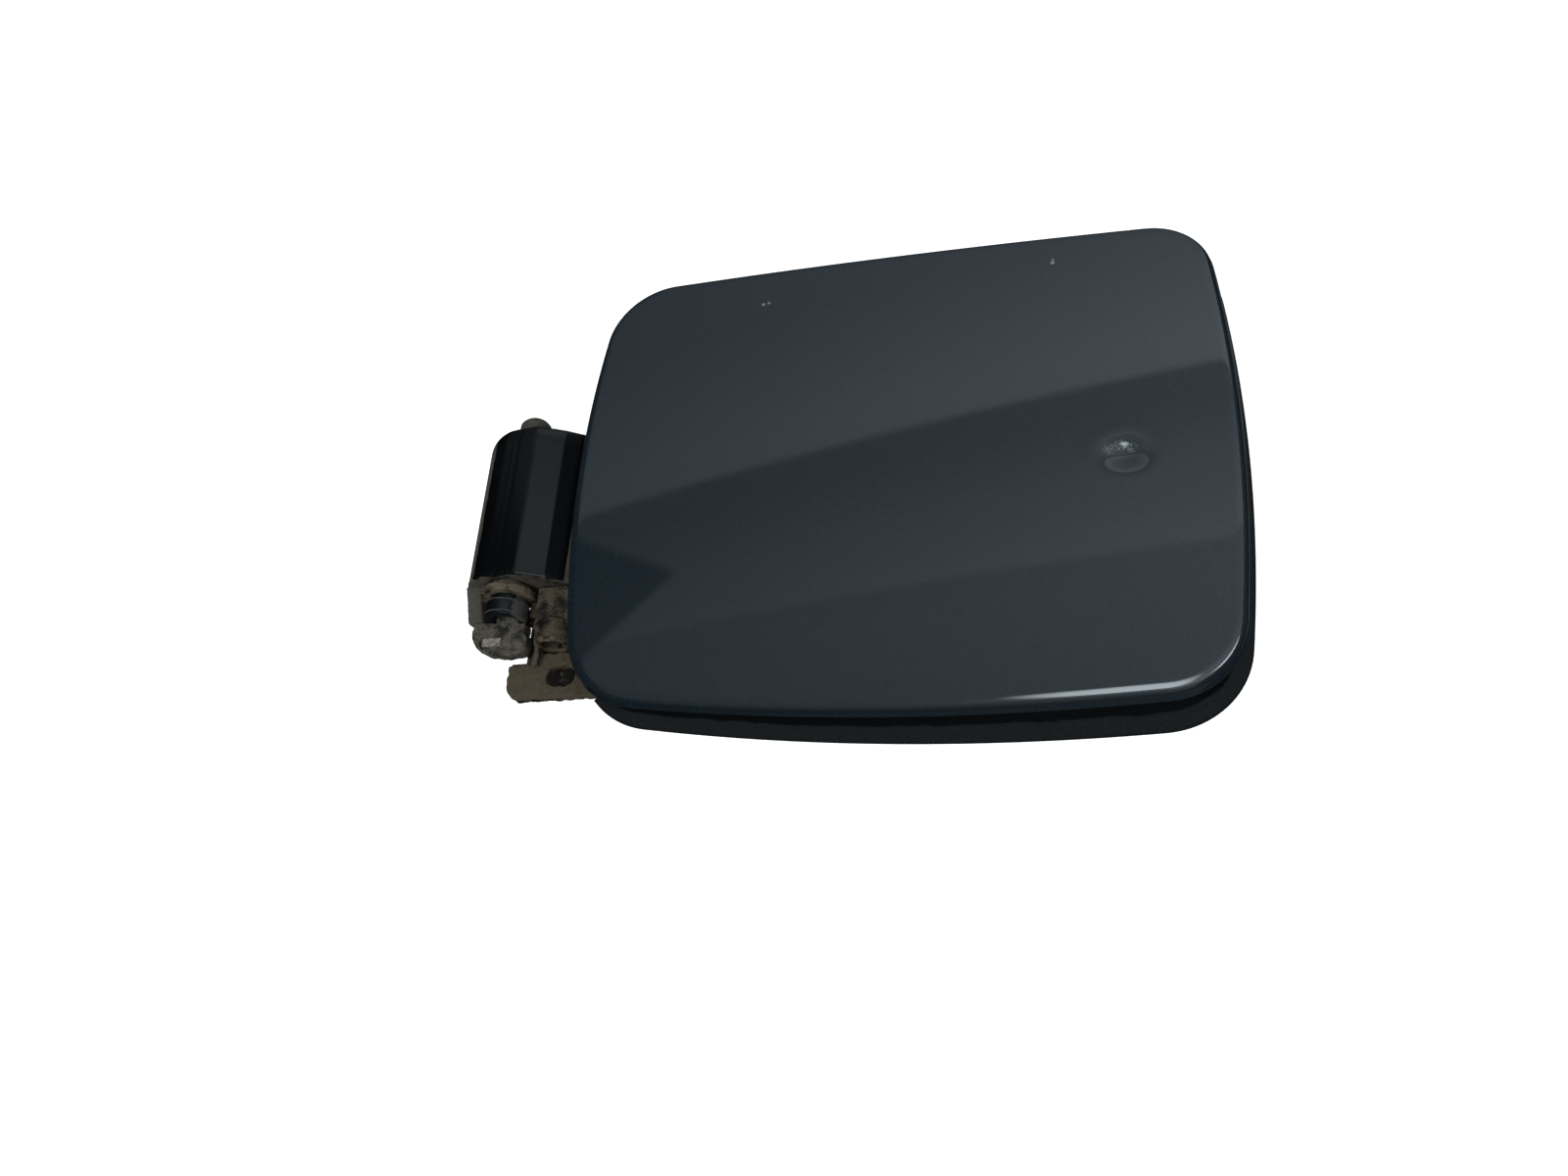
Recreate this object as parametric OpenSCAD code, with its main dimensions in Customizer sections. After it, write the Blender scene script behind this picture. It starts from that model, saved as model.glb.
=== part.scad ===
// Car fuel door: painted outer skin on a flared inner carrier, with a moulded
// hinge arm, its sprung pivot and a bracket. The door lies with its outer side up.
// X runs from the hinge to the free edge, Y along the hinge axis, Z outwards.
// The origin is on the hinge axis, in the middle of the far pivot pin.

/* [Door outline] */
// Width between the corner points
door_w = 160; // [140:1:190]
// Height between the corner points
door_h = 126; // [112:1:150]
// How far the hinge side stands out at its middle
bulge_hinge = 5.9; // [0:0.1:8]
// How far the free side stands out at its middle
bulge_free = 4.8; // [0:0.1:8]
// How far the far side stands out at its middle
bulge_far = 0.6; // [0:0.1:6]
// How far the near side stands out at its middle
bulge_near = 4.9; // [0:0.1:8]
// Length that each corner curve takes off its sides, near hinge corner
corner_near_hinge = 15.8; // [12:0.1:24]
// The same, near free corner
corner_near_free = 15.2; // [12:0.1:24]
// The same, far free corner
corner_far_free = 13.3; // [12:0.1:24]
// The same, far hinge corner
corner_far_hinge = 17.1; // [12:0.1:24]

/* [Place of the door] */
// Hinge axis to the middle of the door
door_reach = 106.7; // [98:0.1:125]
// Middle of the far pin to the middle of the door, along the axis
door_shift = 25.2; // [20:0.1:32]
// Height of the outer face over the hinge axis
door_rise = 12; // [11.5:0.1:14]
// Turn of the door outline against the hinge axis, degrees
door_cant = 2.25; // [0:0.25:3]

/* [Outer skin] */
// Thickness of the painted sheet
skin_t = 0.9; // [0.7:0.1:1.2]
// Fall of the crowned face from its middle to a side
crown = 1.1; // [0.4:0.1:1.6]
// Radius of the rolled shoulder
shoulder_r = 1.6; // [1.2:0.1:2]
// Height of the hemmed edge
hem_h = 3.5; // [3:0.1:4.5]
// Width of the flange that turns back under the edge
hem_return = 8; // [6:0.5:10]
// Outward lean of the edge
edge_flare = 0.6; // [0:0.1:1]
// Dent, from the middle of the door towards the free side
dent_x = 59.1; // [40:0.1:66]
// Dent, from the middle of the door towards the near side
dent_y = 4.4; // [-20:0.1:20]
// Width of the dent
dent_d = 10.5; // [6:0.5:14]
// Depth of the dent
dent_depth = 0.8; // [0.4:0.1:1]

/* [Inner carrier] */
// Thickness of the bonding bead under the hem
bead_t = 1.2; // [0.8:0.1:2]
// Width of the bonding bead
bead_w = 3.6; // [2:0.1:4.4]
// Wall of the moulding
wall = 2; // [1.6:0.1:2.2]
// Distance of the rim behind the hem
rim_inset = 2.5; // [2:0.1:4]
// Width of the rim's flat top
rim_w = 6.5; // [5:0.1:8]
// Depth of the deck's top under the outer face
deck_depth = 7.5; // [7:0.1:8.5]
// Depth of the skirt's lower edge under the outer face
skirt_depth = 18.5; // [18.4:0.1:21]
// How far the skirt's lower edge stands out past the outline
skirt_out = 2.9; // [0:0.1:4]
// Turn of the skirt's lower edge against the outer face, degrees
skirt_turn = 0.75; // [0:0.25:1]
// Height of the stiffening ribs
rib_h = 4; // [2:0.5:6]
// Thickness of the stiffening ribs
rib_t = 1.6; // [1.2:0.1:2.2]

/* [Hinge arm] */
// Length of the barrel along the axis
arm_l = 47; // [40:0.5:56]
// Outer radius of the barrel's rolled top
barrel_r = 10.5; // [10.5:0.1:11.5]
// Wall of the arm
arm_wall = 1.7; // [1.4:0.1:1.8]
// Thickness of the end walls
end_wall = 3; // [2.5:0.1:4]
// Fall of the arm from the barrel to the door, degrees
arm_slope = 17; // [15:0.5:18]
// Thickness of the foot under the door
foot_t = 3; // [2.5:0.1:4]
// Reach of the foot under the door, from the door's corner points
foot_reach = 35.3; // [31:0.1:43]

/* [Pivot] */
// Radius of the steel shaft and its far pin
shaft_r = 4.6; // [4:0.1:4.8]
// Length of the far pin, without its neck and its round end
pin_l = 5.1; // [4:0.1:8]
// Height of the far pin's round end
dome_h = 2.8; // [2:0.1:4]
// Radius of the near bush
bush_r = 5.9; // [5.6:0.1:6.2]
// Length of the near bush outside its neck
bush_l = 4.9; // [4:0.1:7]
// Radius of the bush's hollow end
bush_bore_r = 3.6; // [3:0.1:3.8]
// Radius of the round key head
key_r = 8.2; // [7:0.1:8.4]
// Reach of the key head past the bush
key_l = 10.9; // [9.5:0.1:11.6]
// Thickness of the key head
key_t = 3.6; // [2.5:0.1:3.8]
// Running clearance at the bearings, on the radius
run_gap = 0.06; // [0.03:0.01:0.09]

/* [Spring] */
// Wire of the return spring
wire_d = 1.1; // [0.9:0.1:1.2]
// Number of turns
turns = 12; // [8:1:14]

/* [Bracket] */
// Radius of the socket tube
socket_r = 5.2; // [4.8:0.1:5.6]
// Radius of the socket's bore
socket_bore_r = 3.8; // [3:0.1:4]
// Length of the bracket along the axis
bracket_l = 30.4; // [28:0.1:33]

/* [Fasteners] */
// Radius of the arm and bracket screws
screw_r = 1.9; // [1.6:0.1:2.2]
// Radius of their heads
head_r = 3.6; // [3.2:0.1:4]
// Height of their heads
head_h = 2.2; // [1.8:0.1:2.6]
// Thickness of the washers
washer_t = 0.8; // [0.6:0.1:1.2]

/* [Hidden] */
$fn = 48;

// clearance of a screw or a peg in its hole
fit_gap = 0.1;
// clearance of a pressed piece in its seat
seat_gap = 0.05;
// clearance that keeps the bead's flat facets off the crowned faces
bond_gap = 0.02;
// amount by which joined shapes sink into each other
sink = 0.3;

// levels, seen from the hinge axis
deck_top = door_rise - deck_depth;
deck_under = deck_top - wall;
floor_z = door_rise - skirt_depth;
rim_depth = hem_h + bead_t;

// stations along the axis, from the far end to the near end
pin_neck = 0.25;
far_face = -pin_l / 2 - pin_neck;
near_face = far_face - arm_l;
collar_neck = 1.4;
collar_w = 2;
bush_neck = 1.4;
collar_face = near_face - collar_neck - collar_w;
bush_back = collar_face - bush_neck;
bush_face = bush_back - bush_l;
key_face = bush_face - key_l;

// barrel of the arm: its rolled top is centred beside and below the axis, clear of the spring
spring_gap = 0.65;
spring_out = shaft_r + spring_gap + wire_d;
slope_room = 0.306;
barrel_x = -2.1;
barrel_z = (spring_out + slope_room - barrel_r + arm_wall - barrel_x * sin(arm_slope)) / cos(arm_slope);
arm_foot_x = 18;
foot_margin = 3;
arm_floor = floor_z + 0.1;

// outline of the door, corner points from the near hinge corner, anticlockwise
half = [door_w / 2, door_h / 2];
hinge_side = door_reach - half.x;
free_side = door_reach + half.x;
near_side = -door_shift - half.y;
far_side = -door_shift + half.y;
corner_signs = [[-1, -1], [1, -1], [1, 1], [-1, 1]];
// how far each corner point stands off the plain rectangle
corner_shift = [[3, -0.6], [1.5, 0.6], [-0.5, -0.4], [-1.3, -0.8]];
bulges = [bulge_near, bulge_free, bulge_far, bulge_hinge];
cuts = [corner_near_hinge, corner_near_free, corner_far_free, corner_far_hinge];
side_steps = 8;
corner_steps = 6;

function corner(i) =
    let (s = corner_signs[i % 4]) [s.x * half.x, s.y * half.y] + corner_shift[i % 4];
function side_run(i) = corner(i + 1) - corner(i);
function out_of(v) = [v.y, -v.x] / norm(v);
function side_point(i, t) =
    corner(i) + side_run(i) * t + out_of(side_run(i)) * 4 * bulges[i % 4] * t * (1 - t);
function side_way(i, t) =
    let (v = side_run(i) + out_of(side_run(i)) * 4 * bulges[i % 4] * (1 - 2 * t)) v / norm(v);
function side_start(i) = cuts[i % 4] / norm(side_run(i));
function side_end(i) = 1 - cuts[(i + 1) % 4] / norm(side_run(i));

// a corner is a cubic curve that leaves both sides along their own directions
function corner_curve(i, u) =
    let (a = side_point(i, side_end(i)), ta = side_way(i, side_end(i)),
         b = side_point(i + 1, side_start(i + 1)), tb = side_way(i + 1, side_start(i + 1)),
         turn = acos(ta * tb), reach = 2 / 3 * tan(turn / 4) * norm(b - a) / sin(turn / 2),
         p = a + ta * reach, q = b - tb * reach)
    [pow(1 - u, 3) * a + 3 * pow(1 - u, 2) * u * p + 3 * (1 - u) * u * u * q + pow(u, 3) * b,
     pow(1 - u, 2) * (p - a) + 2 * (1 - u) * u * (q - p) + u * u * (b - q)];

// every entry is a point of the outline with its outward direction
outline = [for (i = [0:3]) each concat(
    [for (k = [0:side_steps])
        let (t = side_start(i) + (side_end(i) - side_start(i)) * k / side_steps)
        [side_point(i, t), out_of(side_way(i, t))]],
    [for (k = [1:corner_steps - 1])
        let (c = corner_curve(i, k / corner_steps)) [c[0], out_of(c[1])]])];

function fall(p) = crown * (pow(p.x / half.x, 2) + pow(p.y / half.y, 2));
// ring at an offset from the outline; follow is the share of the crown's fall it takes
function ring(offset, depth, follow = 1) = [for (e = outline)
    let (p = e[0] + e[1] * offset) [p.x, p.y, -depth - follow * fall(p)]];
function scaled_ring(s, offset, depth) = [for (e = outline)
    let (p = s * (e[0] + e[1] * offset)) [p.x, p.y, -depth - fall(p)]];

module on_door() translate([door_reach, -door_shift, door_rise]) rotate([0, 0, -door_cant]) children();

// solid between a top point, rings that run outwards and back, and a bottom point
module ring_body(rings, top, bottom) {
    n = len(rings[0]);
    m = len(rings);
    points = concat([[0, 0, top]], [for (r = rings) each r], [[0, 0, bottom]]);
    function at(j, i) = 1 + j * n + i % n;
    polyhedron(points, concat(
        [for (i = [0:n - 1]) [0, at(0, i + 1), at(0, i)]],
        [for (j = [0:m - 2], i = [0:n - 1]) each [
            [at(j, i), at(j, i + 1), at(j + 1, i + 1)],
            [at(j, i), at(j + 1, i + 1), at(j + 1, i)]]],
        [for (i = [0:n - 1]) [1 + m * n, at(m - 1, i), at(m - 1, i + 1)]]));
}

// closed band whose section is a loop of rings
module ring_loop(rings) {
    n = len(rings[0]);
    m = len(rings);
    function at(j, i) = (j % m) * n + i % n;
    polyhedron([for (r = rings) each r], [for (j = [0:m - 1], i = [0:n - 1]) each [
        [at(j, i), at(j, i + 1), at(j + 1, i + 1)],
        [at(j, i), at(j + 1, i + 1), at(j + 1, i)]]]);
}

// cylinder along the hinge axis, from station a down to station b
module axial(r, a, b) translate([0, a, 0]) rotate([90, 0, 0]) cylinder(r = r, h = a - b);

// profile in X and Z, pushed along the axis from station a to station b
module pushed(a, b) translate([0, a, 0]) rotate([90, 0, 0]) linear_extrude(a - b) children();

/* Outer skin */

face_scales = [0.25, 0.5, 0.72, 0.88];
under_scales = [0.8, 0.45];
face_inset = shoulder_r + 2;

module skin_sheet() ring_body(concat(
    [for (s = face_scales) scaled_ring(s, -face_inset, 0)],
    [ring(-face_inset, 0)],
    [for (a = [0:30:90]) ring(shoulder_r * (sin(a) - 1), shoulder_r * (1 - cos(a)))],
    [ring(edge_flare, hem_h - skin_t / 2), ring(edge_flare - skin_t / 2, hem_h)],
    [ring(-hem_return, hem_h), ring(-hem_return, hem_h - skin_t)],
    [ring(-skin_t, hem_h - skin_t), ring(-skin_t, shoulder_r)],
    [ring(-shoulder_r - skin_t / 2, skin_t * 1.1), ring(-face_inset, skin_t)],
    [for (s = under_scales) scaled_ring(s, -face_inset, skin_t)]), 0, -skin_t);

dent_r = (pow(dent_d / 2, 2) + pow(dent_depth, 2)) / (2 * dent_depth);
dent_level = -fall([dent_x, dent_y]);
dent_rim = 2;

module dent_ball(r) translate([dent_x, -dent_y, dent_level + dent_r - dent_depth]) sphere(r = r);

module outer_skin() color("#2c343d") on_door() difference() {
    union() {
        skin_sheet();
        intersection() {
            dent_ball(dent_r + skin_t);
            translate([dent_x, -dent_y, dent_level - 3 * skin_t])
                cylinder(d = dent_d + dent_rim, h = 2.5 * skin_t);
        }
    }
    dent_ball(dent_r);
}

module adhesive_bead() color("#15171a") on_door() {
    out = -rim_inset - (rim_w - bead_w) / 2;
    high = hem_h + bond_gap;
    low = rim_depth - bond_gap;
    ring_loop([ring(out - bead_w, high), ring(out, high), ring(out, low), ring(out - bead_w, low)]);
}

/* Inner carrier */

skirt_steps = [0.2, 0.4, 0.6, 0.8, 0.92, 1];
skirt_curl = 2.2;
function skirt_offset(t) = -rim_inset + (skirt_out + rim_inset) * pow(t, skirt_curl);
function skirt_level(t) = rim_depth + (skirt_depth - rim_depth) * t;
rim_inner = rim_inset + rim_w;
dish_lean = 1.5;

// ring of the skirt at the share t of its height, turned with the lower edge
function skirt_ring(t, inset) = let (a = -skirt_turn * t)
    [for (p = ring(skirt_offset(t) - inset, skirt_level(t), 1 - t))
        [p.x * cos(a) - p.y * sin(a), p.x * sin(a) + p.y * cos(a), p.z]];

module carrier_pan() ring_body(concat(
    [ring(-rim_inner - dish_lean, deck_depth, 0), ring(-rim_inner, rim_depth), ring(-rim_inset, rim_depth)],
    [for (t = skirt_steps) skirt_ring(t, 0)],
    [for (k = [0:5]) skirt_ring(skirt_steps[5 - k], wall)],
    [ring(-rim_inset - wall, rim_depth + wall), ring(-rim_inner - wall, rim_depth + wall)],
    [ring(-rim_inner - dish_lean - wall, deck_depth + wall, 0)]),
    -deck_depth, -deck_depth - wall);

// screws of the arm, the bracket and the striker, seen along Z
foot_end = hinge_side + foot_reach;
bracket_back = near_face - 1;
arm_screw_margin = 6;
arm_screw_pitch = 14;
arm_screw_in = 11.5;
arm_screws_at = [for (x = [foot_end - arm_screw_margin - arm_screw_pitch, foot_end - arm_screw_margin],
    y = [far_face - arm_screw_in, near_face + arm_screw_in]) [x, y]];
bracket_screw_in = 8;
bracket_screw_margin = 5.2;
bracket_screw_pitch = 9;
bracket_screws_at = [for (k = [0, 1])
    [hinge_side + bracket_screw_in + k * bracket_screw_pitch, bracket_back - bracket_screw_margin]];
striker_in = 20;
striker_offset = 3;
striker_x = free_side - striker_in;
striker_y = -door_shift - striker_offset;
striker_pitch = 16;
striker_screws_at = [for (s = [-1, 1]) [striker_x, striker_y + s * striker_pitch / 2]];
striker_screw_r = 1.5;
striker_head_r = 2.8;
striker_head_h = 1.8;
boss_h = 3;
boss_wall = 2;

module deck_boss(at, r) translate([at.x, at.y, deck_top - sink])
    cylinder(r = r + boss_wall, h = boss_h + sink);
module deck_hole(at, r) translate([at.x, at.y, deck_under - 1]) cylinder(r = r, h = wall + boss_h);

// ribs stand round the cap holder and end before the foot, the striker and the buffers
holder_x = door_reach + 3.3;
holder_y = -door_shift + 0.2;
holder_room = [20, 13];
rib_end_gap = 6;
rib_foot_gap = 12;
rib_striker_gap = 14.7;
rib_side_gap = 25;
rib_x_end = striker_x - rib_striker_gap;
rib_xs = [foot_end + rib_foot_gap, holder_x - holder_room.x, holder_x + holder_room.x,
    rib_x_end - rib_end_gap];
rib_ys = [near_side + rib_side_gap, holder_y - holder_room.y, holder_y + holder_room.y,
    far_side - rib_side_gap];

module carrier_ribs() {
    for (x = rib_xs)
        translate([x - rib_t / 2, rib_ys[0], deck_under - rib_h])
            cube([rib_t, rib_ys[3] - rib_ys[0], rib_h + sink]);
    for (y = rib_ys)
        translate([rib_xs[0], y - rib_t / 2, deck_under - rib_h])
            cube([rib_x_end - rib_xs[0], rib_t, rib_h + sink]);
}

// opening of the skirt through which the arm and the bracket pass
opening_gap = 3;
block_gap = 0.6;
opening_in = 6.3;
opening_x = hinge_side + opening_in;
opening_start = hinge_side - bulge_hinge - skirt_out - opening_gap;
opening_near = bracket_back - bracket_l - block_gap;
opening_far = far_face + opening_gap;
arm_gap = 0.5;

// room for the arm and the bracket's socket where they stand higher than the opening
module arm_room() {
    pushed(far_face + arm_gap, near_face - cheek_l - arm_gap) under_arm(barrel_r + arm_gap, wall_reach);
    translate([socket_x, 0, socket_z])
        axial(socket_r + arm_gap, socket_face + socket_l + arm_gap, socket_face - arm_gap);
}

module inner_carrier() color("#16191d") difference() {
    union() {
        on_door() carrier_pan();
        carrier_ribs();
        for (p = arm_screws_at) deck_boss(p, screw_r);
        for (p = bracket_screws_at) deck_boss(p, screw_r);
        for (p = striker_screws_at) deck_boss(p, striker_screw_r);
    }
    translate([opening_start, opening_near, floor_z - 1])
        cube([opening_x - opening_start, opening_far - opening_near, deck_under - floor_z + 1]);
    arm_room();
    for (p = arm_screws_at) deck_hole(p, screw_r + fit_gap);
    for (p = bracket_screws_at) deck_hole(p, screw_r + fit_gap);
    for (p = striker_screws_at) deck_hole(p, striker_screw_r + fit_gap);
    for (p = buffer_at) deck_hole(p, buffer_stem_r + fit_gap);
}

/* Hinge arm */

slope_run = 22;

arc_steps = 20;

// line of the arm's top, r from the middle of the rolled barrel, from its left foot to its low end
function arm_line(r) = concat(
    [[barrel_x - r, arm_floor]],
    [for (k = [0:arc_steps]) let (a = 180 - (90 + arm_slope) * k / arc_steps)
        [barrel_x + r * cos(a), barrel_z + r * sin(a)]],
    [[barrel_x + r * sin(arm_slope) + slope_run * cos(arm_slope),
        barrel_z + r * cos(arm_slope) - slope_run * sin(arm_slope)]]);
function backwards(list) = [for (k = [len(list) - 1:-1:0]) list[k]];

module arm_shell() polygon(concat(arm_line(barrel_r), backwards(arm_line(barrel_r - arm_wall))));

module under_arm(r, reach) intersection() {
    polygon(concat(arm_line(r), [[2 * slope_run, arm_floor]]));
    translate([barrel_x - r, arm_floor]) square([reach - barrel_x + r, 3 * r]);
}

wall_reach = 19;
rib_reach = 20;
sleeve_r = 5.8;
spring_r = spring_out - wire_d / 2;
rib_hole_r = spring_out + 0.4;
arm_ribs = [for (s = [0.3, 0.7]) far_face - s * arm_l];
arm_rib_t = 2;

module rib_profile() difference() {
    under_arm(barrel_r - arm_wall / 2, rib_reach);
    circle(r = rib_hole_r);
}

// wall beside the near bush, level with the arm's left side
cheek_l = 9.4;
cheek_r = 8.1;
cheek_w = 7;
cheek_heights = [2.4, 1, -1.5];

module arm_cheek() difference() {
    translate([barrel_x - barrel_r, 0, 0]) rotate([90, 0, 90]) linear_extrude(cheek_w)
        polygon([[near_face + sink, arm_floor], [near_face + sink, cheek_heights[0]],
            [near_face - cheek_l / 3, cheek_heights[1]], [near_face - cheek_l, cheek_heights[2]],
            [near_face - cheek_l, arm_floor]]);
    axial(cheek_r, near_face, near_face - cheek_l - 1);
}

module hinge_arm() color("#0d0f12") {
    difference() {
        union() {
            arm_cheek();
            pushed(far_face, near_face) arm_shell();
            for (y = [far_face, near_face + end_wall])
                pushed(y, y - end_wall) under_arm(barrel_r, wall_reach);
            for (y = arm_ribs) pushed(y, y - arm_rib_t) rib_profile();
            translate([arm_foot_x, near_face + foot_margin, deck_under - foot_t])
                cube([foot_end - arm_foot_x, arm_l - 2 * foot_margin, foot_t]);
        }
        axial(sleeve_r + seat_gap, far_face + 1, far_face - end_wall - 1);
        axial(sleeve_r + seat_gap, near_face + end_wall + 1, near_face - 1);
        for (p = arm_screws_at) translate([p.x, p.y, deck_under - foot_t - 1])
            cylinder(r = screw_r + fit_gap, h = foot_t + 2);
    }
}

/* Screws and washers */

module pan_screw(at, r, head, height, under, length) translate([at.x, at.y, under]) {
    cylinder(r = r, h = length);
    difference() {
        translate([0, 0, -height]) cylinder(r1 = head * 0.8, r2 = head, h = height);
        translate([0, 0, -height - 1]) cylinder(r = head * 0.42, h = height * 0.6 + 1, $fn = 6);
    }
}

screw_reach = wall + boss_h - 1.2;

module arm_screws() color("#8f9296") for (p = arm_screws_at)
    pan_screw(p, screw_r, head_r, head_h, deck_under - foot_t - washer_t, foot_t + washer_t + screw_reach);

module arm_washers() color("#a0a3a6") for (p = arm_screws_at)
    translate([p.x, p.y, deck_under - foot_t - washer_t]) difference() {
        cylinder(r = head_r + 1.2, h = washer_t);
        translate([0, 0, -1]) cylinder(r = screw_r + fit_gap, h = washer_t + 2);
    }

module bracket_screws() color("#8f9296") for (p = bracket_screws_at)
    pan_screw(p, screw_r, head_r, head_h, deck_under - foot_t, foot_t + screw_reach);

/* Bracket */

plate_x = 9.8;
plate_top = 1.5;
plate_t = 2;
socket_x = 15.4;
socket_z = -0.8;
socket_l = 6;
plate_l = 12;
plate_front = bracket_back - plate_l;
socket_out = 4.4;
socket_face = plate_front - socket_out;
block_l = 9.5;
block_front = bracket_back - bracket_l;
block_back = block_front + block_l;
block_x = 1.6;
block_end = hinge_side + opening_in;
block_top = -2.5;
pocket_in = 16;
pocket_w = 8.4;
pocket_d = 5.9;
pocket_depth = 2.6;
block_round = 4;
pad_in = 1.3;
pad_l = 22;
pad_x = hinge_side + pad_in;
pad_end = pad_x + pad_l;
floor_x = 5.6;
tongue_x = 3.2;
floor_t = 1.2;
floor_end = collar_face - 0.8;

module block_plan() {
    translate([block_x, block_front + block_round])
        square([block_end - block_x, block_back - block_front - block_round]);
    translate([block_x + block_round, block_front])
        square([block_end - block_x - block_round, 2 * block_round]);
    translate([block_x + block_round, block_front + block_round]) circle(r = block_round);
}

module pocket(x, y) translate([x, y, block_top - pocket_depth]) {
    for (s = [-1, 1]) translate([s * (pocket_w - pocket_d) / 2, 0, 0])
        cylinder(d = pocket_d, h = pocket_depth + 1);
    translate([-(pocket_w - pocket_d) / 2, -pocket_d / 2, 0])
        cube([pocket_w - pocket_d, pocket_d, pocket_depth + 1]);
}

module arm_bracket() color("#3a352d") difference() {
    union() {
        translate([plate_x, plate_front, plate_top - plate_t])
            cube([pad_x - plate_x + 2, bracket_back - plate_front, plate_t]);
        translate([pad_x, block_back, deck_under - foot_t])
            cube([pad_end - pad_x, bracket_back - block_back, foot_t]);
        translate([plate_x, block_back - 1, floor_z])
            cube([rib_t, bracket_back - block_back + 1, plate_top - floor_z - plate_t + sink]);
        translate([pad_x, block_back - 1, floor_z])
            cube([rib_t, bracket_back - block_back + 1, deck_under - foot_t - floor_z + sink]);
        translate([socket_x, 0, socket_z]) axial(socket_r, socket_face + socket_l, socket_face);
        translate([0, 0, floor_z]) linear_extrude(block_top - floor_z) block_plan();
        translate([plate_x, block_back - 1, floor_z])
            cube([block_end - plate_x, 4, block_top - floor_z]);
        translate([floor_x, block_back - 1, floor_z])
            cube([block_end - floor_x, floor_end - block_back + 1, floor_t]);
        translate([tongue_x, bush_face + sink, floor_z])
            cube([floor_x - tongue_x + sink, floor_end - bush_face - sink, floor_t]);
    }
    translate([socket_x, 0, socket_z]) axial(socket_bore_r, socket_face + socket_l + 1, socket_face - 1);
    pocket(block_x + pocket_in, (block_back + block_front) / 2 + 1);
    for (p = bracket_screws_at) translate([p.x, p.y, deck_under - foot_t - 1])
        cylinder(r = screw_r + fit_gap, h = foot_t + 2);
}

/* Bearings, washer and spring */

neck_r = 4.9;
journal_r = shaft_r - 0.5;
collar_neck_r = 6.2;
collar_r = 7.7;
washer_w = 1;
washer_face = near_face + end_wall + washer_w;

module far_bearing() color("#4a4740") difference() {
    axial(sleeve_r, far_face, far_face - end_wall);
    axial(journal_r + run_gap, far_face + 1, far_face - end_wall - 1);
}

// the collar has a flat on its lower side
module near_bearing() color("#5b5346") difference() {
    union() {
        axial(sleeve_r, near_face + end_wall, near_face - sink);
        axial(collar_neck_r, near_face, near_face - collar_neck);
        axial(collar_r, near_face - collar_neck, collar_face);
    }
    axial(neck_r + run_gap, near_face + end_wall + 1, collar_face - 1);
    translate([-collar_r, collar_face - 1, arm_floor - collar_r])
        cube([2 * collar_r, collar_w + collar_neck + 1, collar_r]);
}

module thrust_washer() color("#77736a") difference() {
    axial(sleeve_r + 0.4, washer_face, near_face + end_wall);
    axial(neck_r + fit_gap, washer_face + 1, near_face + end_wall - 1);
}

clip_t = 0.8;
clip_gap = 0.4;
far_clip = far_face - end_wall - clip_gap;
near_clip = washer_face + clip_gap + clip_t;
clip_stations = [far_clip, near_clip];

spring_start = near_clip + clip_gap + wire_d / 2;
spring_end = far_clip - clip_t - clip_gap - wire_d / 2;
spring_pitch = (spring_end - spring_start) / turns;
turn_steps = 16;
wire_sides = 6;
start_angle = 270;
leg_gap = 0.3;
leg_long = barrel_r - barrel_x - arm_wall - leg_gap;
leg_short = 3;

// ring of points round the wire; slide moves it along the wire's own direction
function wire_ring(angle, slide) =
    let (out = [cos(angle), 0, sin(angle)], way = [-sin(angle), 0, cos(angle)],
         y = spring_start + spring_pitch * (angle - start_angle) / 360)
    [for (k = [0:wire_sides - 1]) let (b = 360 * k / wire_sides)
        out * (spring_r + wire_d / 2 * cos(b)) + way * slide + [0, y + wire_d / 2 * sin(b), 0]];

module wire(rings) {
    n = len(rings[0]);
    m = len(rings);
    function at(j, k) = j * n + k % n;
    polyhedron([for (r = rings) each r], concat(
        [[for (k = [n - 1:-1:0]) k]],
        [for (j = [0:m - 2], k = [0:n - 1]) each [
            [at(j, k), at(j, k + 1), at(j + 1, k + 1)],
            [at(j, k), at(j + 1, k + 1), at(j + 1, k)]]],
        [[for (k = [0:n - 1]) at(m - 1, k)]]));
}

module return_spring() color("#84878a") wire(concat(
    [wire_ring(start_angle, -leg_long)],
    [for (k = [0:turns * turn_steps]) wire_ring(start_angle + 360 * k / turn_steps, 0)],
    [wire_ring(start_angle + 360 * turns, leg_short)]));

/* Pivot */

shoulder_y = near_face + end_wall + 0.4;
spigot_r = 3.4;
spigot_end = near_face - 2;
dome_r = (shaft_r * shaft_r + dome_h * dome_h) / (2 * dome_h);
clip_groove = 0.5;

module band(r_out, r_in, a, b) difference() {
    axial(r_out, a, b);
    axial(r_in, a + 1, b - 1);
}

// half sections of turned pieces: radius along X, station along Y
module step(r, a, b) translate([0, b]) square([r, a - b]);

module dome() intersection() {
    translate([0, dome_h - dome_r]) circle(r = dome_r);
    translate([0, -2 * sink]) square([shaft_r, dome_h + 2 * sink]);
}

module pivot_shaft() color("#6f6a60") rotate([-90, 0, 0]) rotate_extrude() difference() {
    union() {
        step(shaft_r, pin_l / 2 - sink, -pin_l / 2);
        step(journal_r, -pin_l / 2 + sink, shoulder_y);
        step(spigot_r, shoulder_y + sink, spigot_end);
        translate([0, pin_l / 2]) dome();
    }
    for (y = clip_stations) translate([journal_r - clip_groove, y - clip_t]) square([shaft_r, clip_t]);
}

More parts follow.
